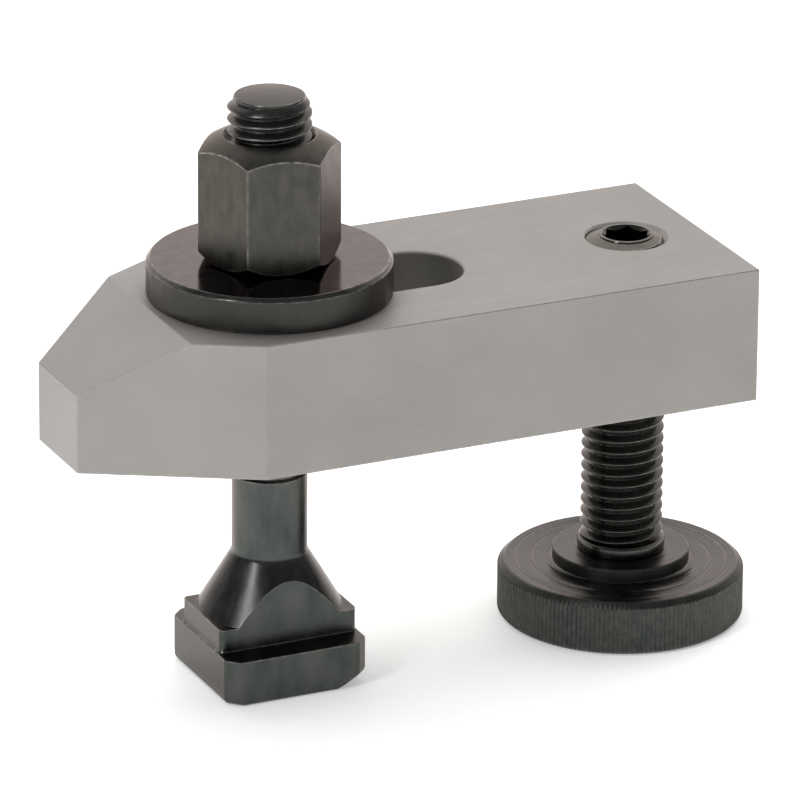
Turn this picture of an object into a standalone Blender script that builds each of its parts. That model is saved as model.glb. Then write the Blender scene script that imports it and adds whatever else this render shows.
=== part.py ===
"""Tapered strap clamp with an adjusting support screw, complete with its T-slot bolt, washer and nut.

The bar lies along X with its nose towards -X, level above z = 0, where the bolt's T-head and the
screw's foot both stand. The bounding box is centred on x = 0 and y = 0. Pieces that touch in use
are drawn a CLEARANCE apart, and each one is a closed body of its own.
"""

import math

import bmesh
import bpy
from mathutils import Vector

MM = 0.001

# Gaps between pieces that touch, and between a piece and what surrounds it
CLEARANCE = 0.3 * MM
BORE_CLEARANCE = 0.3 * MM
WASHER_CLEARANCE = 0.5 * MM
SLOT_CLEARANCE = 1 * MM

# Bar, measured along it from the nose
BAR_LENGTH = 100 * MM
BAR_WIDTH = 40 * MM
BAR_THICKNESS = 20 * MM
UNDERSIDE_HEIGHT = 38 * MM
NOSE_WIDTH = 14 * MM
NOSE_FACE_HEIGHT = 11.8 * MM
INCLINE_RUN = 14 * MM
TAPER_RUN = 23.3 * MM
EDGE_BREAK = 0.4 * MM
SLOT_START = 21 * MM
SLOT_LENGTH = 41 * MM
BOLT_FROM_NOSE = 32.5 * MM
SCREW_FROM_HEEL = 11.4 * MM
HOLE_COUNTERSINK = 0.2 * MM

# Screw thread, shared by the bolt and the support screw
THREAD_DIAMETER = 12 * MM
THREAD_PITCH = 1.75 * MM
THREAD_DEPTH = 0.6134 * THREAD_PITCH
END_CHAMFER = 0.9 * MM
END_DOME = 0.2 * MM
THREAD_RUNOUT_TURNS = 0.5

# T-slot bolt
HEAD_WIDTH = 22 * MM
HEAD_CORNER = 1.8 * MM
HEAD_THICKNESS = 6.8 * MM
HEAD_UNDER_RUN = 3.2 * MM
HEAD_UNDER_RISE = 1.7 * MM
HEAD_TOE_BREAK = 0.6 * MM
NECK_WIDTH = 14 * MM
NECK_TOP = 10.3 * MM
CONE_INSET = 0.1 * MM
CONE_TOP = 18.8 * MM
BOLT_ABOVE_NUT = 6 * MM
THREAD_LENGTH = 55 * MM

# Washer and nut
WASHER_DIAMETER = 35 * MM
WASHER_THICKNESS = 5 * MM
WASHER_CHAMFER = 0.7 * MM
NUT_ACROSS_FLATS = 18 * MM
NUT_HEIGHT = 18 * MM
NUT_DOME_RADIUS = 17 * MM
NUT_SEAT_INSET = 0.4 * MM
NUT_SEAT_RISE = 1.6 * MM
NUT_COUNTERSINK = 0.3 * MM
NUT_TURN = math.radians(-11)

# Support screw and its foot
SCREW_ABOVE_BAR = 0.8 * MM
SOCKET_ACROSS_FLATS = 6 * MM
SOCKET_DEPTH = 6.2 * MM
SOCKET_MOUTH_RADIUS = 3.75 * MM
COLLAR_PROUD = 0.4 * MM
COLLAR_HEIGHT = 1.5 * MM
PIN_RADIUS = 4 * MM
PIN_LENGTH = 5.7 * MM
FOOT_DIAMETER = 36 * MM
FOOT_THICKNESS = 8 * MM
FOOT_TOP_BEVEL = 0.8 * MM
FOOT_UNDER_BEVEL = 0.5 * MM
HUB_RADIUS = 10 * MM
HUB_HEIGHT = 2 * MM

# Sizes and positions that follow from the ones above
THREAD_RADIUS = THREAD_DIAMETER / 2
SHANK_RADIUS = THREAD_RADIUS - 0.325 * THREAD_PITCH
SLOT_RADIUS = THREAD_RADIUS + SLOT_CLEARANCE
NOSE_X = -max(BAR_LENGTH, BAR_LENGTH - SCREW_FROM_HEEL + FOOT_DIAMETER / 2) / 2
BOLT_X = NOSE_X + BOLT_FROM_NOSE
SCREW_X = NOSE_X + BAR_LENGTH - SCREW_FROM_HEEL
BAR_TOP = UNDERSIDE_HEIGHT + BAR_THICKNESS
WASHER_BASE = BAR_TOP + CLEARANCE
NUT_BASE = WASHER_BASE + WASHER_THICKNESS + CLEARANCE
BOLT_HEIGHT = NUT_BASE + NUT_HEIGHT + BOLT_ABOVE_NUT
HUB_TOP = FOOT_THICKNESS + HUB_HEIGHT

# Fineness
ROUND = 48
HOLE_SIDES = 32
THREAD_SIDES = 20
ROWS_PER_TURN = 2
DOME_STEPS = 5
OVERRUN = 1 * MM

OXIDE = (0.035, 0.034, 0.033)


def finish(name, colour, roughness):
    material = bpy.data.materials.new(name)
    material.use_nodes = True
    shader = material.node_tree.nodes["Principled BSDF"]
    shader.inputs["Base Color"].default_value = (*colour, 1)
    shader.inputs["Metallic"].default_value = 1
    shader.inputs["Roughness"].default_value = roughness
    material.diffuse_color = (*colour, 1)
    return material


def place(name, bm, x, material=None):
    """Puts a bmesh into the scene with its origin at x on the X axis. Without a material it is a cutter."""
    bmesh.ops.recalc_face_normals(bm, faces=bm.faces)
    mesh = bpy.data.meshes.new(name)
    bm.to_mesh(mesh)
    bm.free()
    obj = bpy.data.objects.new(name, mesh)
    bpy.context.collection.objects.link(obj)
    obj.location.x = x
    if material:
        mesh.materials.append(material)
        mesh.shade_smooth()
        mesh.set_sharp_from_angle(angle=math.radians(30))
    else:
        obj.hide_render = True
        obj.display_type = "WIRE"
    return obj


def circle(radius, z, sides=ROUND):
    return polygon(radius, z, sides, 0)


def polygon(radius, z, sides, turn):
    step = 2 * math.pi / sides
    return [
        Vector((radius * math.cos(turn + step * i), radius * math.sin(turn + step * i), z))
        for i in range(sides)
    ]


def join_rings(bm, low, high):
    for i, vert in enumerate(low):
        following = (i + 1) % len(low)
        bm.faces.new((vert, low[following], high[following], high[i]))


def lofted(rings, bored=False):
    """A body through rings of equal point counts, capped at both ends. In a bored one the last meets the first."""
    bm = bmesh.new()
    levels = [[bm.verts.new(point) for point in ring] for ring in rings]
    for low, high in zip(levels, levels[1:]):
        join_rings(bm, low, high)
    if bored:
        join_rings(bm, levels[-1], levels[0])
    else:
        bm.faces.new(levels[0])
        bm.faces.new(levels[-1])
    return bm


def boolean(obj, tool, operation):
    modifier = obj.modifiers.new(f"{operation.lower()} {tool.name}", "BOOLEAN")
    modifier.operation = operation
    modifier.object = tool


def threaded_rod(below, above):
    """A rod of (radius, height) rings, with a right-hand thread from below's last ring to above's first."""
    start, end = below[-1][1], above[0][1]
    turns = int((end - start) / THREAD_PITCH - 1)
    last_side = (THREAD_SIDES - 1) / THREAD_SIDES
    spare = end - start - THREAD_PITCH * (turns + last_side)
    rows = turns * ROWS_PER_TURN + 1
    root = THREAD_RADIUS - THREAD_DEPTH

    def thread_point(side, row):
        turned = row / ROWS_PER_TURN + side / THREAD_SIDES
        to_end = min(turned, turns + last_side - turned)
        fade = min(1, to_end / THREAD_RUNOUT_TURNS)
        radius = root + THREAD_DEPTH * fade * (row % ROWS_PER_TURN)
        angle = 2 * math.pi * side / THREAD_SIDES
        height = start + spare / 2 + THREAD_PITCH * turned
        return Vector((radius * math.cos(angle), radius * math.sin(angle), height))

    bm = bmesh.new()
    lower = [[bm.verts.new(p) for p in circle(r, z, THREAD_SIDES)] for r, z in below]
    upper = [[bm.verts.new(p) for p in circle(r, z, THREAD_SIDES)] for r, z in above]
    columns = [
        [bm.verts.new(thread_point(side, row)) for row in range(rows)]
        for side in range(THREAD_SIDES)
    ]
    for levels in (lower, upper):
        for low, high in zip(levels, levels[1:]):
            join_rings(bm, low, high)
    bm.faces.new(lower[0])
    bm.faces.new(upper[-1])
    first, last = columns[0], columns[-1]
    for side, (here, there) in enumerate(zip(columns, columns[1:])):
        bm.faces.new((lower[-1][side], lower[-1][side + 1], there[0], here[0]))
        bm.faces.new((here[-1], there[-1], upper[0][side + 1], upper[0][side]))
        for row in range(rows - 1):
            bm.faces.new((here[row], there[row], there[row + 1], here[row + 1]))
    # The last column meets the first one a whole turn further up.
    for row in range(rows - 1 - ROWS_PER_TURN):
        across = row + ROWS_PER_TURN
        bm.faces.new((last[row], first[across], first[across + 1], last[row + 1]))
    bm.faces.new((lower[-1][-1], lower[-1][0], *first[: ROWS_PER_TURN + 1], last[0]))
    bm.faces.new((first[-1], upper[0][0], upper[0][-1], *reversed(last[-ROWS_PER_TURN - 1 :])))
    return bm


def rod_end(height):
    """Rings for the chamfered and slightly domed end of a thread, from the thread up."""
    face = THREAD_RADIUS - END_CHAMFER
    return [
        (face + END_CHAMFER / 3, height - END_DOME - END_CHAMFER / 3),
        (face, height - END_DOME),
        (face * 2 / 3, height),
    ]


def bar_blank():
    """The bar before its slot and hole: a tapered nose with an inclined top, on a plain straight body."""
    nose, half = NOSE_WIDTH / 2, BAR_WIDTH / 2
    incline_half = nose + (half - nose) * INCLINE_RUN / TAPER_RUN
    low, high = UNDERSIDE_HEIGHT, BAR_TOP
    near = [
        Vector((0, -nose, low)),
        Vector((TAPER_RUN, -half, low)),
        Vector((BAR_LENGTH, -half, low)),
        Vector((BAR_LENGTH, -half, high)),
        Vector((TAPER_RUN, -half, high)),
        Vector((INCLINE_RUN, -incline_half, high)),
        Vector((0, -nose, low + NOSE_FACE_HEIGHT)),
    ]
    bm = bmesh.new()
    here = [bm.verts.new(point) for point in near]
    there = [bm.verts.new((p.x, -p.y, p.z)) for p in near]
    for side in (here, there):
        toe, bend, heel, heel_top, bend_top, ridge, lip = side
        bm.faces.new((toe, bend, bend_top, ridge, lip))
        bm.faces.new((bend, heel, heel_top, bend_top))
    bm.faces.new((*here[:3], *reversed(there[:3])))
    bm.faces.new((*here[3:6], *reversed(there[3:6])))
    for first, second in ((2, 3), (5, 6), (6, 0)):
        bm.faces.new((here[first], here[second], there[second], there[first]))
    return bm


def slot_ring(half_width, z):
    """A round-ended slot's outline at one height, offset from the line between its end centres."""
    start = SLOT_START + SLOT_RADIUS
    end = SLOT_START + SLOT_LENGTH - SLOT_RADIUS
    ring = []
    for centre, quarter in ((end, -math.pi / 2), (start, math.pi / 2)):
        for i in range(HOLE_SIDES // 2 + 1):
            angle = quarter + 2 * math.pi * i / HOLE_SIDES
            along = centre + half_width * math.cos(angle)
            ring.append(Vector((along, half_width * math.sin(angle), z)))
    return ring


def flared(outline, size, flare, *arguments):
    """Rings of a through cutter for the bar, opened by flare at both faces on a 45-degree slope."""
    wide = size + flare + OVERRUN
    return [
        outline(wide, UNDERSIDE_HEIGHT - OVERRUN, *arguments),
        outline(size, UNDERSIDE_HEIGHT + flare, *arguments),
        outline(size, BAR_TOP - flare, *arguments),
        outline(wide, BAR_TOP + OVERRUN, *arguments),
    ]


def add_clamp_bar():
    bar = place("clamp_bar", bar_blank(), NOSE_X, finish("ground_steel", (0.42, 0.40, 0.38), 0.35))
    bevel = bar.modifiers.new("broken edges", "BEVEL")
    bevel.width = EDGE_BREAK
    bevel.segments = 1
    bevel.limit_method = "ANGLE"
    bevel.angle_limit = math.radians(20)
    slot = lofted(flared(slot_ring, SLOT_RADIUS, EDGE_BREAK))
    hole = lofted(flared(circle, THREAD_RADIUS + BORE_CLEARANCE, HOLE_COUNTERSINK, HOLE_SIDES))
    boolean(bar, place("slot_cutter", slot, NOSE_X), "DIFFERENCE")
    boolean(bar, place("hole_cutter", hole, SCREW_X), "DIFFERENCE")


def head_ring(z, toe, heel):
    """The head's outline with its corners cut off. It reaches toe towards the nose and heel the other way."""
    side, corner = HEAD_WIDTH / 2, HEAD_CORNER
    return [
        Vector((x, y, z))
        for x, y in (
            (heel, corner - side),
            (heel, side - corner),
            (heel - corner, side),
            (corner - toe, side),
            (-toe, side - corner),
            (-toe, corner - side),
            (corner - toe, -side),
            (heel - corner, -side),
        )
    ]


def add_t_slot_bolt():
    material = finish("bolt_oxide", OXIDE, 0.4)
    half = HEAD_WIDTH / 2
    cone = half - CONE_INSET
    below = [
        (cone, NECK_TOP - OVERRUN),
        (cone, NECK_TOP),
        (SHANK_RADIUS, CONE_TOP),
        (SHANK_RADIUS, BOLT_HEIGHT - THREAD_LENGTH),
    ]
    bolt = place("t_slot_bolt", threaded_rod(below, rod_end(BOLT_HEIGHT)), BOLT_X, material)
    slope = HEAD_UNDER_RUN / HEAD_UNDER_RISE
    head = lofted(
        [
            head_ring(0, half - HEAD_TOE_BREAK, half - HEAD_UNDER_RUN),
            head_ring(HEAD_TOE_BREAK, half, half - HEAD_UNDER_RUN + slope * HEAD_TOE_BREAK),
            head_ring(HEAD_UNDER_RISE, half, half),
            head_ring(NECK_TOP, half, half),
        ]
    )
    boolean(bolt, place("head_block", head, BOLT_X), "UNION")
    reach = half + OVERRUN
    for name, side in (("near", -1), ("far", 1)):
        inner, outer = side * NECK_WIDTH / 2, side * reach
        outline = ((-reach, inner), (reach, inner), (reach, outer), (-reach, outer))
        heights = (HEAD_THICKNESS, CONE_TOP + OVERRUN)
        ledge = lofted([[Vector((x, y, z)) for x, y in outline] for z in heights])
        boolean(bolt, place(f"{name}_ledge_cutter", ledge, BOLT_X), "DIFFERENCE")


def add_washer():
    hole = THREAD_RADIUS + WASHER_CLEARANCE
    rim, top = WASHER_DIAMETER / 2, WASHER_BASE + WASHER_THICKNESS
    profile = [
        (hole, WASHER_BASE),
        (rim - EDGE_BREAK, WASHER_BASE),
        (rim, WASHER_BASE + EDGE_BREAK),
        (rim, top - WASHER_CHAMFER),
        (rim - WASHER_CHAMFER, top),
        (hole, top),
    ]
    body = lofted([circle(radius, z) for radius, z in profile], bored=True)
    place("washer", body, BOLT_X, finish("washer_oxide", OXIDE, 0.3))


def add_hex_nut():
    bore = THREAD_RADIUS + BORE_CLEARANCE
    top = NUT_BASE + NUT_HEIGHT
    corner = NUT_ACROSS_FLATS / math.sqrt(3)
    mouth = bore + NUT_COUNTERSINK
    dome_centre = top - math.sqrt(NUT_DOME_RADIUS**2 - mouth**2)
    seat = NUT_ACROSS_FLATS / 2 - NUT_SEAT_INSET
    outer = corner + OVERRUN
    dome = []
    for step in range(DOME_STEPS + 1):
        radius = outer + (mouth - outer) * step / DOME_STEPS
        dome.append((radius, dome_centre + math.sqrt(NUT_DOME_RADIUS**2 - radius**2)))
    profile = [
        (bore, NUT_BASE + NUT_COUNTERSINK),
        (mouth, NUT_BASE),
        (seat, NUT_BASE),
        (outer, NUT_BASE + NUT_SEAT_RISE * (outer - seat) / (corner - seat)),
        *dome,
        (bore, top - NUT_COUNTERSINK),
    ]
    body = lofted([circle(radius, z) for radius, z in profile], bored=True)
    nut = place("hex_nut", body, BOLT_X, finish("nut_oxide", OXIDE, 0.35))
    flats = lofted([polygon(corner, z, 6, NUT_TURN) for z in (NUT_BASE - OVERRUN, top + OVERRUN)])
    boolean(nut, place("nut_flats", flats, BOLT_X), "INTERSECT")


def add_support_screw():
    shoulder = HUB_TOP + CLEARANCE
    collar_top = shoulder + COLLAR_HEIGHT
    top = BAR_TOP + SCREW_ABOVE_BAR
    proud = THREAD_RADIUS + COLLAR_PROUD
    below = [
        (PIN_RADIUS - EDGE_BREAK, shoulder - PIN_LENGTH),
        (PIN_RADIUS, shoulder - PIN_LENGTH + EDGE_BREAK),
        (PIN_RADIUS, shoulder),
        (proud - EDGE_BREAK, shoulder),
        (proud, shoulder + EDGE_BREAK),
        (proud, collar_top - EDGE_BREAK),
        (SHANK_RADIUS, collar_top),
    ]
    body = threaded_rod(below, rod_end(top))
    screw = place("support_screw", body, SCREW_X, finish("screw_oxide", OXIDE, 0.4))
    corner = SOCKET_ACROSS_FLATS / math.sqrt(3)
    socket = lofted([polygon(corner, z, 6, 0) for z in (top - SOCKET_DEPTH, top + OVERRUN)])
    mouth = SOCKET_MOUTH_RADIUS
    slope = ((mouth / 2, top - mouth / 2), (mouth + OVERRUN, top + OVERRUN))
    chamfer = lofted([circle(radius, z, HOLE_SIDES) for radius, z in slope])
    boolean(screw, place("socket_cutter", socket, SCREW_X), "DIFFERENCE")
    boolean(screw, place("mouth_cutter", chamfer, SCREW_X), "DIFFERENCE")


def add_knurled_foot():
    rim = FOOT_DIAMETER / 2
    bore = PIN_RADIUS + BORE_CLEARANCE
    profile = [
        (rim - FOOT_UNDER_BEVEL, 0),
        (rim, FOOT_UNDER_BEVEL),
        (rim, FOOT_THICKNESS - FOOT_TOP_BEVEL),
        (rim - FOOT_TOP_BEVEL, FOOT_THICKNESS),
        (HUB_RADIUS, FOOT_THICKNESS),
        (HUB_RADIUS, HUB_TOP),
        (bore, HUB_TOP),
        (bore, HUB_TOP - PIN_LENGTH),
    ]
    body = lofted([circle(radius, z) for radius, z in profile])
    place("knurled_foot", body, SCREW_X, finish("foot_oxide", OXIDE, 0.4))


for leftover in list(bpy.data.objects):
    bpy.data.objects.remove(leftover, do_unlink=True)

add_clamp_bar()
add_t_slot_bolt()
add_washer()
add_hex_nut()
add_support_screw()
add_knurled_foot()
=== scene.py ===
"""Looks for a tapered machinist's strap clamp: a ground steel bar with its T-slot bolt, washer, tall
nut, support screw and knurled foot. Sections follow the order in which the clamp is put together."""

import math

import bmesh
import bpy
from mathutils import Matrix, Vector


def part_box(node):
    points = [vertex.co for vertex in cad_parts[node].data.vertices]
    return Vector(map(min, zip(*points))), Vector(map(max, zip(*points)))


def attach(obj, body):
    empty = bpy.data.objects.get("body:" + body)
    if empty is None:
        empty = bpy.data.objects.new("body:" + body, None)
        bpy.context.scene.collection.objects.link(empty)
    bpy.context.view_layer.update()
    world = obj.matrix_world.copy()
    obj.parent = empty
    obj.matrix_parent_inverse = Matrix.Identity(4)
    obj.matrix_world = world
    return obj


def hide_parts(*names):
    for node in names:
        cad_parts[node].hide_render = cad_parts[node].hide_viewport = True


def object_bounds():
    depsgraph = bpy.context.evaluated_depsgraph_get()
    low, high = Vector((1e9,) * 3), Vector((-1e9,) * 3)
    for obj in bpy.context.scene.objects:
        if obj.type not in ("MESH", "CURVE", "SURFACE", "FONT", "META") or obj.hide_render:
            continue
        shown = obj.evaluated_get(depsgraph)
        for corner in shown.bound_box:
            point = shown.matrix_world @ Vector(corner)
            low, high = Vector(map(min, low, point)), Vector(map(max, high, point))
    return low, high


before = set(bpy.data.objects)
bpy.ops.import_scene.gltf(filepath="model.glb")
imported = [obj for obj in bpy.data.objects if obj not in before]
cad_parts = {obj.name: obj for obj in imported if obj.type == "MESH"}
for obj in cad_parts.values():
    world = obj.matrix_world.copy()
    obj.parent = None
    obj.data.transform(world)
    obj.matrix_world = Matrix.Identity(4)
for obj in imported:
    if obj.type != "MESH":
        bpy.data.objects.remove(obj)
cad_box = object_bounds()

# Studio: a plain white table with a broad bright screen behind it, dark above and in front, so that
# bright and oiled steel shows its shape. A strip of light stands at the left, and the lens is long.

table_half = 4
table_gap = 0.0001
table_low = cad_box[0].z
table_bm = bmesh.new()
bmesh.ops.create_grid(table_bm, x_segments=1, y_segments=1, size=table_half)
table_mesh = bpy.data.meshes.new("table_top")
table_bm.to_mesh(table_mesh)
table_bm.free()
table_top = bpy.data.objects.new("table_top", table_mesh)
table_top.location.z = table_low - table_gap
bpy.context.collection.objects.link(table_top)
table_paint = bpy.data.materials.new("white_table")
table_paint.use_nodes = True
white = table_paint.node_tree.nodes["Principled BSDF"]
white.inputs["Base Color"].default_value = (0.9, 0.9, 0.9, 1)
white.inputs["Roughness"].default_value = 0.9
white.inputs["Emission Color"].default_value = (0.97, 1, 0.99, 1)
white.inputs["Emission Strength"].default_value = 0.34
table_mesh.materials.append(table_paint)

camera_data = bpy.data.cameras.new("camera")
camera_data.sensor_width = 36
camera_data.lens = 351
camera_data.clip_start = 0.05
camera_data.clip_end = 20
camera = bpy.data.objects.new("camera", camera_data)
bpy.context.collection.objects.link(camera)
aim = Vector((-0.0004, 0, table_low + 0.03828))
stand_off = 1.1164
azimuth, elevation, roll = math.radians(-24.806), math.radians(21.348), math.radians(0.404)
away = Vector(
    (
        math.sin(azimuth) * math.cos(elevation),
        -math.cos(azimuth) * math.cos(elevation),
        math.sin(elevation),
    )
)
level = away.cross(Vector((0, 0, -1))).normalized()
upright = away.cross(level)
right = level * math.cos(roll) + upright * math.sin(roll)
turn = Matrix((right, away.cross(right), away)).transposed().to_4x4()
camera.matrix_world = Matrix.Translation(aim + away * stand_off) @ turn
bpy.context.scene.camera = camera


def softbox(name, place, toward, width, height, power, colour):
    """A rectangular area light at place, facing toward."""
    light = bpy.data.lights.new(name, "AREA")
    light.shape = "RECTANGLE"
    light.size, light.size_y = width, height
    light.energy = power
    light.color = colour
    lamp = bpy.data.objects.new(name, light)
    lamp.location = place
    lamp.rotation_euler = (Vector(toward) - Vector(place)).to_track_quat("-Z", "Y").to_euler()
    bpy.context.collection.objects.link(lamp)
    return lamp


softbox("left_strip", (-0.78, -0.29, 0.74), (0, 0, 0.03), 0.2, 0.7, 3.6, (1, 0.97, 0.98))
top_fill = softbox("top_fill", (0.1, 0.3, 1.2), (0, 0, 0), 1.4, 1.4, 15, (1, 0.99, 0.97))
top_fill.visible_glossy = False

world = bpy.data.worlds.new("studio")
world.use_nodes = True
bpy.context.scene.world = world
sky = world.node_tree.nodes
direction = sky.new("ShaderNodeTexCoord")
toward_screen = sky.new("ShaderNodeVectorMath")
toward_screen.operation = "DOT_PRODUCT"
toward_screen.inputs[1].default_value = (0.36, 0.86, 0.36)
screen_edge = sky.new("ShaderNodeMapRange")
screen_edge.interpolation_type = "SMOOTHSTEP"
screen_edge.inputs["From Min"].default_value = 0.3
screen_edge.inputs["From Max"].default_value = 0.8
wash = sky.new("ShaderNodeMix")
wash.data_type = "RGBA"
wash.inputs[6].default_value = (0.2, 0.205, 0.205, 1)
wash.inputs[7].default_value = (1.18, 1.13, 1.1, 1)
links = world.node_tree.links
links.new(direction.outputs["Generated"], toward_screen.inputs[0])
links.new(toward_screen.outputs["Value"], screen_edge.inputs["Value"])
links.new(screen_edge.outputs["Result"], wash.inputs[0])
links.new(wash.outputs[2], sky["Background"].inputs["Color"])
bpy.context.scene.view_settings.view_transform = "Standard"


# Clamp bar: a bar of steel sawn to length, milled to a tapered nose with an inclined top, slotted,
# drilled and tapped M12 at the heel, then ground all over and its edges broken by hand. It stays bare.

bar_low, bar_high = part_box("clamp_bar")
bolt_low, bolt_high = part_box("t_slot_bolt")
screw_low, screw_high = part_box("support_screw")
bolt_axis = (bolt_low + bolt_high) / 2
screw_axis = (screw_low + screw_high) / 2
thread_radius = 0.006
thread_pitch = 0.00175
thread_depth = 0.6134 * thread_pitch
# Points of one turn of thread, as shares of the pitch along it and of the depth above the root.
thread_profile = (
    (0.0, 0.0),
    (0.09, 0.05),
    (0.41, 0.95),
    (0.46, 1.0),
    (0.54, 1.0),
    (0.59, 0.95),
    (0.91, 0.05),
)


def circle(radius, z, sides=96):
    step = 2 * math.pi / sides
    return [
        Vector((radius * math.cos(step * i), radius * math.sin(step * i), z)) for i in range(sides)
    ]


def rounded_polygon(corners, z, radius, steps=4):
    """A flat outline through corners, given anticlockwise, each rounded to radius."""
    ring = []
    for i, corner in enumerate(corners):
        corner = Vector((*corner, 0))
        before = (Vector((*corners[i - 1], 0)) - corner).normalized()
        after = (Vector((*corners[(i + 1) % len(corners)], 0)) - corner).normalized()
        half_angle = before.angle(after) / 2
        centre = corner + (before + after).normalized() * (radius / math.sin(half_angle))
        start = corner + before * (radius / math.tan(half_angle)) - centre
        sweep = math.pi - 2 * half_angle
        for step in range(steps + 1):
            spoke = Matrix.Rotation(sweep * step / steps, 3, "Z") @ start
            ring.append(centre + spoke + Vector((0, 0, z)))
    return ring


def weave_rings(bm, low, high):
    """Faces between two rings. One may have a whole number of times the points of the other."""
    share = len(low) // len(high) or 1
    reverse = len(high) // len(low) or 1
    for i in range(min(len(low), len(high))):
        below = [low[(i * share + k) % len(low)] for k in range(share + 1)]
        above = [high[(i * reverse + k) % len(high)] for k in range(reverse, -1, -1)]
        bm.faces.new(below + above)


def lofted(rings, bored=False):
    """A closed mesh through rings of points, capped at both ends. Bored, its last ring meets its first."""
    bm = bmesh.new()
    levels = [[bm.verts.new(point) for point in ring] for ring in rings]
    for low, high in zip(levels, levels[1:]):
        weave_rings(bm, low, high)
    if bored:
        weave_rings(bm, levels[-1], levels[0])
    else:
        bm.faces.new(levels[0])
        bm.faces.new(levels[-1])
    return bm


def rod_with_thread(below, above, oversize=0.0, fade=True, sides=64):
    """A rod of (radius, height) rings with a right-hand thread between the two lists. Its roots lie at
    whole pitches above the table, so that every thread on one axis runs in the same phase."""
    fade_rate = 3
    start, end = below[-1][1], above[0][1]
    first = math.ceil(start / thread_pitch)
    turns = math.floor(end / thread_pitch - first - (sides - 1) / sides)
    bm = bmesh.new()
    lower = [[bm.verts.new(p) for p in circle(r, z, sides)] for r, z in below]
    upper = [[bm.verts.new(p) for p in circle(r, z, sides)] for r, z in above]
    columns = []
    for side in range(sides):
        angle = 2 * math.pi * side / sides
        column = []
        for row in range(turns * len(thread_profile) + 1):
            along, rise = thread_profile[row % len(thread_profile)]
            turned = row // len(thread_profile) + along + side / sides
            full = min(1, fade_rate * turned, fade_rate * (turns + 1 - turned)) if fade else 1
            radius = thread_radius + oversize - thread_depth * (1 - rise * full)
            height = (first + turned) * thread_pitch
            point = (radius * math.cos(angle), radius * math.sin(angle), height)
            column.append(bm.verts.new(point))
        columns.append(column)
    for levels in (lower, upper):
        for low, high in zip(levels, levels[1:]):
            weave_rings(bm, low, high)
    bm.faces.new(lower[0])
    bm.faces.new(upper[-1])
    for side, (here, there) in enumerate(zip(columns, columns[1:])):
        bm.faces.new((lower[-1][side], lower[-1][side + 1], there[0], here[0]))
        bm.faces.new((here[-1], there[-1], upper[0][side + 1], upper[0][side]))
        for row in range(len(here) - 1):
            bm.faces.new((here[row], there[row], there[row + 1], here[row + 1]))
    # The last column meets the first one a whole turn further up.
    begin, close, rise = columns[0], columns[-1], len(thread_profile)
    for row in range(len(begin) - 1 - rise):
        bm.faces.new((close[row], begin[row + rise], begin[row + rise + 1], close[row + 1]))
    bm.faces.new((lower[-1][-1], lower[-1][0], *begin[: rise + 1], close[0]))
    bm.faces.new((begin[-1], upper[0][0], upper[0][-1], *reversed(close[-rise - 1 :])))
    return bm


def machined(name, bm, axis):
    """The mesh as an object whose origin is on an upright axis."""
    bmesh.ops.recalc_face_normals(bm, faces=bm.faces)
    mesh = bpy.data.meshes.new(name)
    bm.to_mesh(mesh)
    bm.free()
    piece = bpy.data.objects.new(name, mesh)
    piece.location = (axis.x, axis.y, 0)
    bpy.context.collection.objects.link(piece)
    return piece


def settle(piece):
    """Makes the piece's modifiers final in its mesh."""
    graph = bpy.context.evaluated_depsgraph_get()
    final = bpy.data.meshes.new_from_object(piece.evaluated_get(graph))
    piece.modifiers.clear()
    piece.data = final


def combine(piece, tool, operation):
    """Cuts tool from the piece, joins it or keeps only what lies in it, and clears the tool away."""
    step = piece.modifiers.new("combine", "BOOLEAN")
    step.operation = operation
    step.object = tool
    bpy.context.view_layer.update()
    settle(piece)
    bpy.data.objects.remove(tool)


def shade(piece, degrees=32):
    """Smooth over curves, crisp at edges, with broad flat faces left flat."""
    piece.data.shade_smooth()
    piece.data.set_sharp_from_angle(angle=math.radians(degrees))
    weigh = piece.modifiers.new("flat_faces", "WEIGHTED_NORMAL")
    weigh.keep_sharp = True
    weigh.weight = 100
    settle(piece)


def countersink(piece, radius, face, inward, axis):
    """Opens a hole at face with a 45-degree cone, radius wide at the surface. inward is 1 going up."""
    deep, proud = 0.002, 0.001
    inside = (radius - deep, face + inward * deep)
    outside = (radius + proud, face - inward * proud)
    rings = [circle(*level) for level in sorted((inside, outside), key=lambda level: level[1])]
    combine(piece, machined("countersink", lofted(rings), axis), "DIFFERENCE")


def dress(piece, body, cad_node, material):
    """Gives the piece its finish, and ties it to its solid in the frame."""
    piece.data.materials.clear()
    piece.data.materials.append(material)
    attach(piece, body)
    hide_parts(cad_node)


bar_length = bar_high.x - bar_low.x
bar_half = (bar_high.y - bar_low.y) / 2
nose_half = 0.007
nose_height = 0.0118
incline_run = 0.014
taper_run = 0.0233
incline_half = nose_half + (bar_half - nose_half) * incline_run / taper_run
broken_edge = 0.0002
near_side = [
    (0, -nose_half, bar_low.z),
    (taper_run, -bar_half, bar_low.z),
    (bar_length, -bar_half, bar_low.z),
    (bar_length, -bar_half, bar_high.z),
    (taper_run, -bar_half, bar_high.z),
    (incline_run, -incline_half, bar_high.z),
    (0, -nose_half, bar_low.z + nose_height),
]
bar_bm = bmesh.new()
near = [bar_bm.verts.new(point) for point in near_side]
far = [bar_bm.verts.new((x, -y, z)) for x, y, z in near_side]
for toe, bend, heel, heel_top, bend_top, ridge, lip in (near, far):
    bar_bm.faces.new((toe, bend, bend_top, ridge, lip))
    bar_bm.faces.new((bend, heel, heel_top, bend_top))
bar_bm.faces.new((*near[:3], *reversed(far[:3])))
bar_bm.faces.new((*near[3:6], *reversed(far[3:6])))
for one, two in ((2, 3), (5, 6), (6, 0)):
    bar_bm.faces.new((near[one], near[two], far[two], far[one]))
clamp_bar = machined("ground_clamp_bar", bar_bm, Vector((bar_low.x, 0, 0)))
edges = clamp_bar.modifiers.new("broken_edges", "BEVEL")
edges.width = broken_edge
edges.segments = 3
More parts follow.
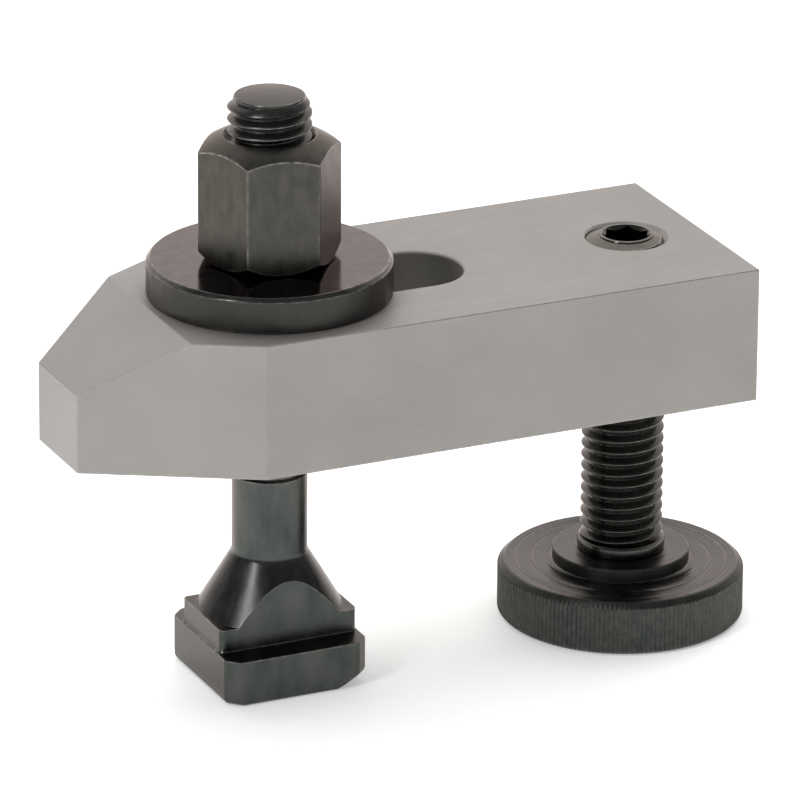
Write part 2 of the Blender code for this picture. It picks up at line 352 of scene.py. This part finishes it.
edges.limit_method = "ANGLE"
edges.angle_limit = math.radians(20)
settle(clamp_bar)


slot_start, slot_finish = 0.021, 0.062
slot_half = 0.007
slot_ends = (slot_start + slot_half, slot_finish - slot_half)
slot_end_steps = 32
slot_ease = 0.0005
slot_ease_steps = 4


def eased(size, face, inward):
    """(size, height) pairs down the slot's rounded mouth, from above the surface at height face."""
    proud = 0.002
    pairs = [(size + slot_ease + proud, face - inward * proud)]
    for step in range(slot_ease_steps + 1):
        angle = math.radians(8 + 82 * step / slot_ease_steps)
        sideways, down = slot_ease * (1 - math.sin(angle)), slot_ease * (1 - math.cos(angle))
        pairs.append((size + sideways, face + inward * down))
    return pairs


def slot_outline(half_width, z):
    ring = []
    for centre, quarter in ((slot_ends[1], -math.pi / 2), (slot_ends[0], math.pi / 2)):
        for step in range(slot_end_steps + 1):
            angle = quarter + math.pi * step / slot_end_steps
            along = centre + half_width * math.cos(angle)
            ring.append(Vector((along, half_width * math.sin(angle), z)))
    return ring


slot_levels = eased(slot_half, bar_low.z, 1) + eased(slot_half, bar_high.z, -1)[::-1]
slot_body = lofted([slot_outline(*level) for level in slot_levels])
combine(clamp_bar, machined("slot_tool", slot_body, clamp_bar.location), "DIFFERENCE")

tap_gap = 0.00006
tap_margin = 2 * thread_pitch
tap_core = thread_radius - thread_depth + tap_gap


def tap_between(name, low, high, axis):
    """A tap that cuts an M12 thread from below low to above high, in phase with the screws."""
    start, end = (tap_core, low - tap_margin), (tap_core, high + tap_margin)
    body = rod_with_thread([start], [end], oversize=tap_gap, fade=False, sides=48)
    return machined(name, body, axis)


combine(clamp_bar, tap_between("bar_tap", bar_low.z, bar_high.z, screw_axis), "DIFFERENCE")
hole_mouth = 0.0062
for face, inward in ((bar_low.z, 1), (bar_high.z, -1)):
    countersink(clamp_bar, hole_mouth, face, inward, screw_axis)
shade(clamp_bar)


def new_group(name, inputs, outputs):
    """An empty shader group. inputs are (name, kind, default) and outputs are (name, kind)."""
    group = bpy.data.node_groups.new(name, "ShaderNodeTree")
    for label, kind, value in inputs:
        socket = group.interface.new_socket(label, in_out="INPUT", socket_type=kind)
        socket.default_value = value
    for label, kind in outputs:
        group.interface.new_socket(label, in_out="OUTPUT", socket_type=kind)
    return group, group.nodes.new("NodeGroupInput"), group.nodes.new("NodeGroupOutput")


def node(tree, kind, settings=(), values=(), feeds=()):
    """Adds a shader node: settings are attributes, values socket defaults, and feeds linked sockets."""
    made = tree.nodes.new(kind)
    for label, value in settings:
        setattr(made, label, value)
    for label, value in values:
        made.inputs[label].default_value = value
    for label, source in feeds:
        tree.links.new(source, made.inputs[label])
    return made


# Edges: broken edges are painted lighter than the faces. This is partly wear where handling has burnished
# them and partly a painted highlight.
edge_group, given, result = new_group(
    "worn_and_highlit_edges",
    [("Width", "NodeSocketFloat", 0.0004), ("Strength", "NodeSocketFloat", 1.0)],
    [("Mask", "NodeSocketFloat")],
)
round_over = node(
    edge_group, "ShaderNodeBevel", [("samples", 4)], feeds=[("Radius", given.outputs["Width"])]
)
surface = node(edge_group, "ShaderNodeNewGeometry")
facing = node(
    edge_group,
    "ShaderNodeVectorMath",
    [("operation", "DOT_PRODUCT")],
    feeds=[(0, round_over.outputs["Normal"]), (1, surface.outputs["Normal"])],
)
bend_share = node(
    edge_group,
    "ShaderNodeMapRange",
    values=[("From Min", 0.995), ("From Max", 0.9), ("To Min", 0.0), ("To Max", 1.0)],
    feeds=[("Value", facing.outputs["Value"])],
)
where = node(edge_group, "ShaderNodeTexCoord")
patchy = node(edge_group, "ShaderNodeTexNoise", values=[("Scale", 900.0), ("Detail", 3.0)])
edge_group.links.new(where.outputs["Object"], patchy.inputs["Vector"])
patches = node(
    edge_group,
    "ShaderNodeMapRange",
    values=[("From Min", 0.4), ("From Max", 0.62), ("To Min", 0.15), ("To Max", 1.0)],
    feeds=[("Value", patchy.outputs["Fac"])],
)
broken_up = node(
    edge_group,
    "ShaderNodeMath",
    [("operation", "MULTIPLY")],
    feeds=[(0, bend_share.outputs["Result"]), (1, patches.outputs["Result"])],
)
scaled = node(
    edge_group,
    "ShaderNodeMath",
    [("operation", "MULTIPLY"), ("use_clamp", True)],
    feeds=[(0, broken_up.outputs["Value"]), (1, given.outputs["Strength"])],
)
edge_group.links.new(scaled.outputs["Value"], result.inputs["Mask"])

# Stroke marks: fine parallel scratches left by a grinding wheel or an emery cloth, long one way.
stroke_group, given, result = new_group(
    "stroke_marks",
    [("Stretch", "NodeSocketVector", (0.03, 1.0, 1.0)), ("Fineness", "NodeSocketFloat", 6000.0)],
    [("Height", "NodeSocketFloat"), ("Cloud", "NodeSocketFloat")],
)
where = node(stroke_group, "ShaderNodeTexCoord")
stretched = node(
    stroke_group,
    "ShaderNodeVectorMath",
    [("operation", "MULTIPLY")],
    feeds=[(0, where.outputs["Object"]), (1, given.outputs["Stretch"])],
)
scratches = node(
    stroke_group,
    "ShaderNodeTexNoise",
    values=[("Detail", 4.0), ("Roughness", 0.65)],
    feeds=[("Vector", stretched.outputs["Vector"]), ("Scale", given.outputs["Fineness"])],
)
cloud = node(
    stroke_group,
    "ShaderNodeTexNoise",
    values=[("Scale", 55.0), ("Detail", 5.0), ("Roughness", 0.6)],
    feeds=[("Vector", where.outputs["Object"])],
)
stroke_group.links.new(scratches.outputs["Fac"], result.inputs["Height"])
stroke_group.links.new(cloud.outputs["Fac"], result.inputs["Cloud"])


def place_group(tree, group, values):
    """Places a shared effect in a material, with that material's own values."""
    return node(tree, "ShaderNodeGroup", [("node_tree", group)], values)


def tint(tree, mask, low, high):
    """A colour between low, where the mask is 0, and high, where it is 1."""
    return node(
        tree,
        "ShaderNodeMix",
        [("data_type", "RGBA")],
        [(6, (*low, 1)), (7, (*high, 1))],
        [(0, mask)],
    ).outputs[2]


def spread(tree, value, from_min, from_max, to_min, to_max):
    """Stretches a value that runs from from_min to from_max, so that it runs from to_min to to_max."""
    ends = (("From Min", from_min), ("From Max", from_max), ("To Min", to_min), ("To Max", to_max))
    made = node(tree, "ShaderNodeMapRange", values=ends, feeds=[("Value", value)])
    return made.outputs["Result"]


def paint_edge_wear_and_highlight(tree, worn_and_lit, film_colour, edge_colour):
    """Base Color: film_colour, and edge_colour where the edges are worn and carry a painted highlight."""
    shown = node(
        tree,
        "ShaderNodeMix",
        [("data_type", "RGBA")],
        [(7, (*edge_colour, 1))],
        [(0, worn_and_lit.outputs["Mask"]), (6, film_colour)],
    )
    tree.links.new(shown.outputs[2], tree.nodes["Principled BSDF"].inputs["Base Color"])


def steel(name):
    """An empty metal material, with its node tree and its shader."""
    material = bpy.data.materials.new(name)
    material.use_nodes = True
    tree = material.node_tree
    shader = tree.nodes["Principled BSDF"]
    shader.inputs["Metallic"].default_value = 1
    return material, tree, shader


bar_steel, tree, shader = steel("ground_steel")
grind = place_group(tree, stroke_group, [("Stretch", (0.035, 1.0, 1.0)), ("Fineness", 5200.0)])
# Edges painted lighter: partly wear, partly a painted highlight.
worn_and_lit = place_group(tree, edge_group, [("Width", 0.0005), ("Strength", 0.6)])
clouded = spread(tree, grind.outputs["Cloud"], 0.3, 0.7, 0.0, 1.0)
face_colour = tint(tree, clouded, (0.318, 0.304, 0.292), (0.36, 0.345, 0.331))
paint_edge_wear_and_highlight(tree, worn_and_lit, face_colour, (0.56, 0.54, 0.52))
rough = spread(tree, grind.outputs["Height"], 0.3, 0.7, 0.46, 0.6)
tree.links.new(rough, shader.inputs["Roughness"])
shader.inputs["Metallic"].default_value = 0.7
relief = node(
    tree,
    "ShaderNodeBump",
    values=[("Strength", 0.16), ("Distance", 0.00002)],
    feeds=[("Height", grind.outputs["Height"])],
)
tree.links.new(relief.outputs["Normal"], shader.inputs["Normal"])
dress(clamp_bar, "clamp_bar", "clamp_bar", bar_steel)


# T-slot bolt: forged in one piece, its neck milled to 14 mm so that it cannot turn in a machine table's
# slot, its shank thread-rolled, then hardened and blackened. The black is a thin film, glossy with oil.

head_half = (bolt_high.x - bolt_low.x) / 2
head_top = 0.0068
head_cut = 0.0018
forged_corner = 0.0009
neck_half = 0.007
neck_top = 0.0103
neck_inset = 0.0004
cone_radius = head_half - 0.0005
cone_top = 0.0188
shank_radius = 0.00543
groove_high = bolt_high.z - 0.0564
groove_low = bolt_high.z - 0.0568
bolt_foot = bolt_low.z


def head_outline(z, toe, heel, side):
    """The head with its corners cut off, reaching toe towards the nose and heel the other way."""
    corners = [
        (heel, head_cut - side),
        (heel, side - head_cut),
        (heel - head_cut, side),
        (head_cut - toe, side),
        (-toe, side - head_cut),
        (-toe, head_cut - side),
        (head_cut - toe, -side),
        (heel - head_cut, -side),
    ]
    return rounded_polygon(corners, z, forged_corner)


def neck_outline(z, inset):
    half_x, half_y = head_half - neck_inset - inset, neck_half - inset
    corners = [(half_x, -half_y), (half_x, half_y), (-half_x, half_y), (-half_x, -half_y)]
    return rounded_polygon(corners, z, forged_corner, 8)


def past_end(top):
    """Rings that carry a thread on three turns past its end, to be turned off by a lathe envelope."""
    return [(tap_core, top + 3 * thread_pitch), (tap_core, top + 3.1 * thread_pitch)]


def turned_end(top, low, face, slope):
    """What a lathe leaves of a rod above low: a chamfer up to a face at slope, then a shallow dome."""
    wide, brim, dome, dome_steps = 0.013, 0.0005, 0.0003, 9
    rings = [(wide, low), (wide, top - brim - (wide - face) * slope)]
    rings += [(face + 0.0001, top - brim - 0.0001 * slope), (face + 0.00006, top - 0.00038)]
    for step in range(dome_steps):
        radius = face * (1 - step / dome_steps)
        rings.append((radius, top - dome * (radius / face) ** 2))
    return lofted([circle(*ring) for ring in rings])


under_run, under_rise = 0.0032, 0.0017
slope = under_run / under_rise
round_off = 0.0003
toe_break = 0.0006
# Each level: its height over the table, and how far in from the full head its toe, heel and sides lie.
head_levels = [
    (0, toe_break, under_run + 0.0002, 0.0003),
    (0.0001, toe_break - 0.0002, under_run - 0.0001, 0.0001),
    (0.0003, toe_break - 0.0004, under_run - 0.0004, 0),
    (toe_break, 0.00005, under_run - slope * toe_break, 0),
    (under_rise, 0, 0.0002, 0),
    (under_rise + 0.0004, 0, 0, 0),
    (head_top - round_off, 0, 0, 0),
    (head_top - round_off / 3, round_off / 10, round_off / 10, round_off / 10),
    (head_top, round_off, round_off, round_off),
]
head_rings = [
    head_outline(bolt_foot + z, head_half - toe, head_half - heel, head_half - side)
    for z, toe, heel, side in head_levels
]
fillet = 0.0003
neck_rings = [
    neck_outline(head_top - 0.0002, -fillet),
    neck_outline(head_top, -fillet),
    neck_outline(head_top + 0.3 * fillet, -0.3 * fillet),
    neck_outline(head_top + fillet, 0),
    neck_outline(neck_top, 0),
]
shank = [
    (cone_radius - 0.0003, neck_top - 0.001),
    (cone_radius, neck_top),
    (shank_radius + 0.0003, cone_top - 0.0004),
    (shank_radius + 0.00008, cone_top),
    (shank_radius, cone_top + 0.0005),
    (shank_radius, groove_low),
    (tap_core, groove_high),
]
rod = rod_with_thread(shank, past_end(bolt_high.z), sides=96)
t_slot_bolt = machined("blackened_t_slot_bolt", rod, bolt_axis)
envelope = turned_end(bolt_high.z, bolt_foot, face=0.005, slope=1.3)
combine(t_slot_bolt, machined("turned_end", envelope, bolt_axis), "INTERSECT")
mill_reach = 0.02
mill_heights = (neck_top - 0.002, cone_top + 0.001)
for side in (-1, 1):
    inner, outer = side * neck_half, side * 2 * neck_half
    outline = ((-mill_reach, inner), (mill_reach, inner), (mill_reach, outer), (-mill_reach, outer))
    mill = lofted([[Vector((x, y, z)) for x, y in outline] for z in mill_heights])
    combine(t_slot_bolt, machined("milled_flat", mill, bolt_axis), "DIFFERENCE")
combine(t_slot_bolt, machined("neck_block", lofted(neck_rings), bolt_axis), "UNION")
combine(t_slot_bolt, machined("head_block", lofted(head_rings), bolt_axis), "UNION")
shade(t_slot_bolt, 26)

# Oxide film: magnetite, almost black head-on, warmer and lighter where it is thin, with faint stains
# where the bath drained and a sheen of oil.
film_group, given, result = new_group(
    "oxide_film",
    [
        ("Dark", "NodeSocketColor", (0.05, 0.05, 0.05, 1)),
        ("Light", "NodeSocketColor", (0.1, 0.1, 0.1, 1)),
        ("Scale", "NodeSocketFloat", 260.0),
        ("Dullness", "NodeSocketFloat", 0.25),
        ("Unevenness", "NodeSocketFloat", 0.2),
    ],
    [("Colour", "NodeSocketColor"), ("Roughness", "NodeSocketFloat"), ("Height", "NodeSocketFloat")],
)
where = node(film_group, "ShaderNodeTexCoord")
drained = node(
    film_group,
    "ShaderNodeVectorMath",
    [("operation", "MULTIPLY")],
    [(1, (1.0, 1.0, 0.45))],
    [(0, where.outputs["Object"])],
)
stains = node(
    film_group,
    "ShaderNodeTexNoise",
    values=[("Detail", 4.0), ("Roughness", 0.6), ("Distortion", 0.2)],
    feeds=[("Vector", drained.outputs["Vector"]), ("Scale", given.outputs["Scale"])],
)
stain_share = spread(film_group, stains.outputs["Fac"], 0.32, 0.68, 0.0, 1.0)
film_colour = node(
    film_group,
    "ShaderNodeMix",
    [("data_type", "RGBA")],
    feeds=[(0, stain_share), (6, given.outputs["Dark"]), (7, given.outputs["Light"])],
)
grain = node(film_group, "ShaderNodeTexNoise", values=[("Scale", 5200.0), ("Detail", 2.0)])
film_group.links.new(where.outputs["Object"], grain.inputs["Vector"])
uneven = node(
    film_group,
    "ShaderNodeMath",
    [("operation", "MULTIPLY_ADD")],
    feeds=[(0, stain_share), (1, given.outputs["Unevenness"]), (2, given.outputs["Dullness"])],
)
film_group.links.new(film_colour.outputs[2], result.inputs["Colour"])
film_group.links.new(uneven.outputs["Value"], result.inputs["Roughness"])
film_group.links.new(grain.outputs["Fac"], result.inputs["Height"])


def blacken(name, colours, dullness, edge_colour, edge_strength, bump=0.12, scale=260.0):
    """Black-oxide steel. colours are the film's dark and light ones, dullness is its least roughness
    and how much more its stains have, and edge_colour is the lighter colour painted on its edges, partly
    wear where it is rubbed thin and partly a painted highlight."""
    material, tree, shader = steel(name)
    (dark, light), (least, more) = colours, dullness
    film_values = [("Dark", (*dark, 1)), ("Light", (*light, 1)), ("Scale", scale)]
    film_values += [("Dullness", least), ("Unevenness", more)]
    film = place_group(tree, film_group, film_values)
    # Edges painted lighter: partly wear, partly a painted highlight.
    worn_and_lit = place_group(tree, edge_group, [("Width", 0.0004), ("Strength", edge_strength)])
    paint_edge_wear_and_highlight(tree, worn_and_lit, film.outputs["Colour"], edge_colour)
    tree.links.new(film.outputs["Roughness"], shader.inputs["Roughness"])
    relief = node(
        tree,
        "ShaderNodeBump",
        values=[("Strength", bump), ("Distance", 0.00002)],
        feeds=[("Height", film.outputs["Height"])],
    )
    tree.links.new(relief.outputs["Normal"], shader.inputs["Normal"])
    shader.inputs["Specular Tint"].default_value = (1, 0.93, 0.92, 1)
    return material, tree, relief


def rework_where(tree, low, high, dull_by, shade_by):
    """Multiplies roughness by dull_by and colour by shade_by where the surface's lean, the upright part
    of its normal, lies between low and high."""
    shader = tree.nodes["Principled BSDF"]
    surface = node(tree, "ShaderNodeTexCoord")
    lean = node(tree, "ShaderNodeSeparateXYZ", feeds=[(0, surface.outputs["Normal"])])
    middle, reach = (low + high) / 2, (high - low) / 2
    share = node(
        tree,
        "ShaderNodeMath",
        [("operation", "COMPARE")],
        [(1, middle), (2, reach)],
        [(0, lean.outputs["Z"])],
    ).outputs["Value"]
    was_rough = shader.inputs["Roughness"].links[0].from_socket
    rougher = node(
        tree,
        "ShaderNodeMath",
        [("operation", "MULTIPLY")],
        feeds=[(0, was_rough), (1, spread(tree, share, 0, 1, 1, dull_by))],
    )
    tree.links.new(rougher.outputs["Value"], shader.inputs["Roughness"])
    film_colour = shader.inputs["Base Color"].links[0].from_socket
    shaded = node(
        tree,
        "ShaderNodeMix",
        [("data_type", "RGBA"), ("blend_type", "MULTIPLY")],
        [(7, (*shade_by, 1))],
        [(0, share), (6, film_colour)],
    )
    tree.links.new(shaded.outputs[2], shader.inputs["Base Color"])


bolt_black, tree, _ = blacken(
    "bolt_oxide",
    colours=((0.05, 0.057, 0.053), (0.09, 0.096, 0.089)),
    dullness=(0.24, 0.14),
    edge_colour=(0.26, 0.25, 0.24),
    edge_strength=1.0,
)
# The turned cone is smoother than the forged head.
rework_where(tree, 0.25, 0.8, dull_by=0.9, shade_by=(0.95, 0.9, 0.95))
dress(t_slot_bolt, "t_slot_bolt", "t_slot_bolt", bolt_black)


# Washer: a thick hardened washer, turned from bar and blackened. Its faces are smooth enough to mirror
# the nut that stands on it. It lies straight on the bar, which closes the gap that the solids keep.

washer_low, washer_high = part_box("washer")
washer_radius = (washer_high.x - washer_low.x) / 2
washer_bore = 0.0065
resting_gap = 0.00002
washer_base = bar_high.z + resting_gap
washer_profile = [
    (washer_bore, washer_base + 0.0003),
    (washer_bore + 0.0003, washer_base),
    (washer_radius - 0.0004, washer_base),
    (washer_radius - 0.0001, washer_base + 0.0001),
    (washer_radius, washer_base + 0.0004),
    (washer_radius, washer_high.z - 0.0006),
    (washer_radius - 0.00006, washer_high.z - 0.0005),
    (washer_radius - 0.00052, washer_high.z - 0.00006),
    (washer_radius - 0.00062, washer_high.z),
    (washer_bore + 0.0003, washer_high.z),
    (washer_bore, washer_high.z - 0.0003),
]
washer = machined(
    "blackened_washer",
    lofted([circle(radius, z, 160) for radius, z in washer_profile], bored=True),
    bolt_axis,
)
shade(washer)
washer_black, tree, _ = blacken(
    "washer_oxide",
    colours=((0.07, 0.071, 0.069), (0.108, 0.105, 0.102)),
    dullness=(0.11, 0.08),
    edge_colour=(0.42, 0.4, 0.39),
    edge_strength=1.6,
    bump=0.06,
    scale=420.0,
)
# Its upright rim is made duller and darker than the faces.
rework_where(tree, -0.3, 0.3, dull_by=3.0, shade_by=(0.62, 0.62, 0.6))
dress(washer, "washer", "washer", washer_black)


# Nut: a tall hexagon nut, one and a half diameters high, domed on top where it was turned and bevelled
# below where it seats. Tapped M12 through and blackened. It stands straight on the washer.

nut_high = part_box("hex_nut")[1]
nut_flat_half = 0.009
nut_corner = nut_flat_half * 2 / math.sqrt(3)
nut_turn = math.radians(-11)
nut_base = washer_high.z + resting_gap
nut_core = 0.004
nut_mouth = 0.0066
nut_seat = nut_flat_half - 0.0004
seat_rise, seat_steps = 0.0016, 5
dome_radius, dome_steps = 0.017, 16
dome_centre = nut_high.z - math.sqrt(dome_radius**2 - nut_mouth**2)
past_corner = nut_corner + 0.001
nut_edge_round = 0.0004
hexagon_overrun = 0.001


def hexagon_corners(corner_radius, turn):
    angles = [turn + corner * math.pi / 3 for corner in range(6)]
    return [(corner_radius * math.cos(angle), corner_radius * math.sin(angle)) for angle in angles]


nut_profile = [(nut_core, nut_base), (nut_seat, nut_base)]
for step in range(seat_steps):
    reach = nut_seat + (past_corner - nut_seat) * (step + 1) / seat_steps
    share = (reach - nut_seat) / (nut_corner - nut_seat)
    nut_profile.append((reach, nut_base + seat_rise * share**1.3))
for step in range(dome_steps + 1):
    reach = past_corner + (nut_mouth - past_corner) * step / dome_steps
    nut_profile.append((reach, dome_centre + math.sqrt(dome_radius**2 - reach**2)))
nut_profile.append((nut_core, nut_high.z))
hex_nut = machined(
    "blackened_hex_nut", lofted([circle(radius, z, 144) for radius, z in nut_profile]), bolt_axis
)
hex_rings = [
    rounded_polygon(hexagon_corners(nut_corner, nut_turn), z, nut_edge_round, 5)
    for z in (nut_base - hexagon_overrun, nut_high.z + hexagon_overrun)
]
combine(hex_nut, machined("hexagon", lofted(hex_rings), bolt_axis), "INTERSECT")
combine(hex_nut, tap_between("nut_tap", nut_base, nut_high.z, bolt_axis), "DIFFERENCE")
for face, inward in ((nut_base, 1), (nut_high.z, -1)):
    countersink(hex_nut, nut_mouth, face, inward, bolt_axis)
shade(hex_nut)
nut_black, _, _ = blacken(
    "nut_oxide",
    colours=((0.052, 0.051, 0.044), (0.084, 0.08, 0.07)),
    dullness=(0.27, 0.12),
    edge_colour=(0.34, 0.33, 0.31),
    edge_strength=1.3,
    bump=0.2,
    scale=620.0,
)
dress(hex_nut, "hex_nut", "hex_nut", nut_black)


# Support screw: an M12 screw with a hexagon socket for the key in its top end, which stands a little
# proud of the bar. A collar under the thread bears on the foot. Blackened, with oil in the thread.

socket_flat_half = 0.003
socket_depth = 0.0062
broach_round = 0.00015
foot_low, foot_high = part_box("knurled_foot")
pin_radius = 0.004
collar_radius = 0.0064
collar_low = foot_high.z + resting_gap
collar_high = foot_high.z + 0.0018
screw_sides = 80
screw_start = [(pin_radius, collar_low + 0.0001), (tap_core, collar_low + 0.0002)]
rod = rod_with_thread(screw_start, past_end(screw_high.z), sides=screw_sides)
support_screw = machined("blackened_support_screw", rod, screw_axis)
collar_profile = [
    (0.0036, screw_low.z),
    (pin_radius, screw_low.z + 0.0004),
    (pin_radius, collar_low),
    (0.0061, collar_low),
    (0.0063, collar_low + 0.0001),
    (collar_radius, collar_low + 0.0004),
    (collar_radius, collar_high - 0.0005),
    (0.0063, collar_high - 0.0002),
    (0.006, collar_high),
]
collar = lofted([circle(radius, z, screw_sides) for radius, z in collar_profile])
combine(support_screw, machined("collar", collar, screw_axis), "UNION")
envelope = turned_end(screw_high.z, screw_low.z - 0.001, face=0.0039, slope=0.33)
combine(support_screw, machined("turned_end", envelope, screw_axis), "INTERSECT")
socket_corners = hexagon_corners(socket_flat_half * 2 / math.sqrt(3), 0)
socket_rings = [
    rounded_polygon(socket_corners, z, broach_round, 2)
    for z in (screw_high.z - socket_depth, screw_high.z + 0.001)
]
combine(support_screw, machined("socket_broach", lofted(socket_rings), screw_axis), "DIFFERENCE")
# Cones of a drill's point at the socket's bottom and of the bevel at its mouth: (radius, height) pairs.
drill_cone = [(0.0001, -0.0078), (0.0029, -0.0061)]
mouth_cone = [(0.0024, -0.0014), (0.0048, 0.001)]
for tool_name, cone, sides in (("socket_drill", drill_cone, 48), ("socket_mouth", mouth_cone, 64)):
    tool = lofted([circle(radius, screw_high.z + z, sides) for radius, z in cone])
    combine(support_screw, machined(tool_name, tool, screw_axis), "DIFFERENCE")
shade(support_screw)
screw_black, tree, _ = blacken(
    "screw_oxide",
    colours=((0.055, 0.058, 0.054), (0.085, 0.087, 0.08)),
    dullness=(0.2, 0.1),
    edge_colour=(0.2, 0.19, 0.185),
    edge_strength=0.8,
)
# Oil stays where the thread rounds over, and faces that lean upwards, the turned end's chamfer among them,
# are made lighter.
rework_where(tree, 0.25, 0.8, dull_by=0.6, shade_by=(1, 0.97, 0.97))
rework_where(tree, 0.89, 1.0, dull_by=1.2, shade_by=(1.9, 1.85, 1.8))
dress(support_screw, "support_screw", "support_screw", screw_black)


# Foot: a round pad turned from bar, with a straight knurl on its rim for the fingers and a low hub
# round the screw. The turning tool's rings still show on its top. Blackened.

foot_radius = (foot_high.x - foot_low.x) / 2
foot_face = 0.008
hub_radius = 0.01
knurl_teeth = 160
knurl_steps = 6
knurl_depth = 0.0002
rim_sides = knurl_teeth * knurl_steps
face_sides = rim_sides // 6
bevel_run, bevel_drop = 0.001, 0.0008


def knurled_ring(envelope, z):
    """The rim's outline at one height: the knurl, turned down to envelope where the rim is bevelled."""
    ring = []
    for i in range(rim_sides):
        angle = 2 * math.pi * i / rim_sides
        groove = 0.5 + 0.5 * math.cos(2 * math.pi * i / knurl_steps)
        radius = min(envelope, foot_radius - knurl_depth * groove**1.5)
        ring.append(Vector((radius * math.cos(angle), radius * math.sin(angle), z)))
    return ring


foot_bore = 0.0043
foot_rings = [
    circle(0.006, foot_low.z + 0.0004, face_sides),
    circle(0.0066, foot_low.z, face_sides),
    circle(foot_radius - 0.0016, foot_low.z, face_sides),
    knurled_ring(foot_radius - 0.0007, foot_low.z),
    knurled_ring(foot_radius - 0.00045, foot_low.z + 0.0001),
    knurled_ring(foot_radius, foot_low.z + 0.0006),
    knurled_ring(foot_radius, foot_face - bevel_drop - 0.00015),
    knurled_ring(foot_radius - 0.00025, foot_face - bevel_drop + 0.0001),
    knurled_ring(foot_radius - bevel_run + 0.0001, foot_face - 0.00012),
    knurled_ring(foot_radius - bevel_run - 0.0001, foot_face),
]
# The turning rings: the tool bites a little deeper or shallower from one to the next.
ring_pitch = 0.00062
ring_depth, depth_change = 0.00005, 0.00004
ring_count = int((foot_radius - bevel_run - hub_radius - 0.0005) / ring_pitch)
for index in range(ring_count):
    crest = foot_radius - bevel_run - 0.0004 - index * ring_pitch
    depth = ring_depth + depth_change * math.sin(index * 2.3) ** 2
    foot_rings.append(circle(crest, foot_face, face_sides))
    foot_rings.append(circle(crest - 0.25 * ring_pitch, foot_face - depth, face_sides))
    foot_rings.append(circle(crest - 0.5 * ring_pitch, foot_face - depth, face_sides))
# The hub, a shallow groove in its top round the screw's collar, and the bore.
foot_rings += [
    circle(hub_radius + 0.0002, foot_face - 0.00002, face_sides),
    circle(hub_radius, foot_face + 0.0001, face_sides),
    circle(hub_radius, foot_high.z - 0.00015, face_sides),
    circle(hub_radius - 0.00015, foot_high.z, face_sides),
    circle(0.0076, foot_high.z, face_sides),
    circle(0.0074, foot_high.z - 0.00005, face_sides),
    circle(0.0069, foot_high.z - 0.00005, face_sides),
    circle(0.0067, foot_high.z, face_sides),
    circle(foot_bore, foot_high.z, face_sides),
    circle(foot_bore, screw_low.z - 0.0003, face_sides),
]
knurled_foot = machined("blackened_knurled_foot", lofted(foot_rings), screw_axis)
shade(knurled_foot, 40)
foot_black, tree, relief = blacken(
    "foot_oxide",
    colours=((0.07, 0.075, 0.072), (0.105, 0.105, 0.1)),
    dullness=(0.24, 0.1),
    edge_colour=(0.25, 0.24, 0.23),
    edge_strength=0.8,
    bump=0.05,
)
# The knurl and the bevel above it are made rougher and painted darker than the faced top: painted shade.
rework_where(tree, -0.3, 0.8, dull_by=1.5, shade_by=(0.66, 0.7, 0.67))
lathe = node(tree, "ShaderNodeTexCoord")
flat = node(
    tree,
    "ShaderNodeVectorMath",
    [("operation", "MULTIPLY")],
    [(1, (1.0, 1.0, 0.0))],
    [(0, lathe.outputs["Object"])],
)
reach = node(
    tree, "ShaderNodeVectorMath", [("operation", "LENGTH")], feeds=[(0, flat.outputs["Vector"])]
)
rings = node(
    tree,
    "ShaderNodeTexNoise",
    [("noise_dimensions", "1D")],
    [("Scale", 5200.0), ("Detail", 3.0)],
    [("W", reach.outputs["Value"])],
)
turned = node(
    tree,
    "ShaderNodeBump",
    values=[("Strength", 0.35), ("Distance", 0.00003)],
    feeds=[("Height", rings.outputs["Fac"]), ("Normal", relief.outputs["Normal"])],
)
tree.links.new(turned.outputs["Normal"], tree.nodes["Principled BSDF"].inputs["Normal"])
dress(knurled_foot, "knurled_foot", "knurled_foot", foot_black)
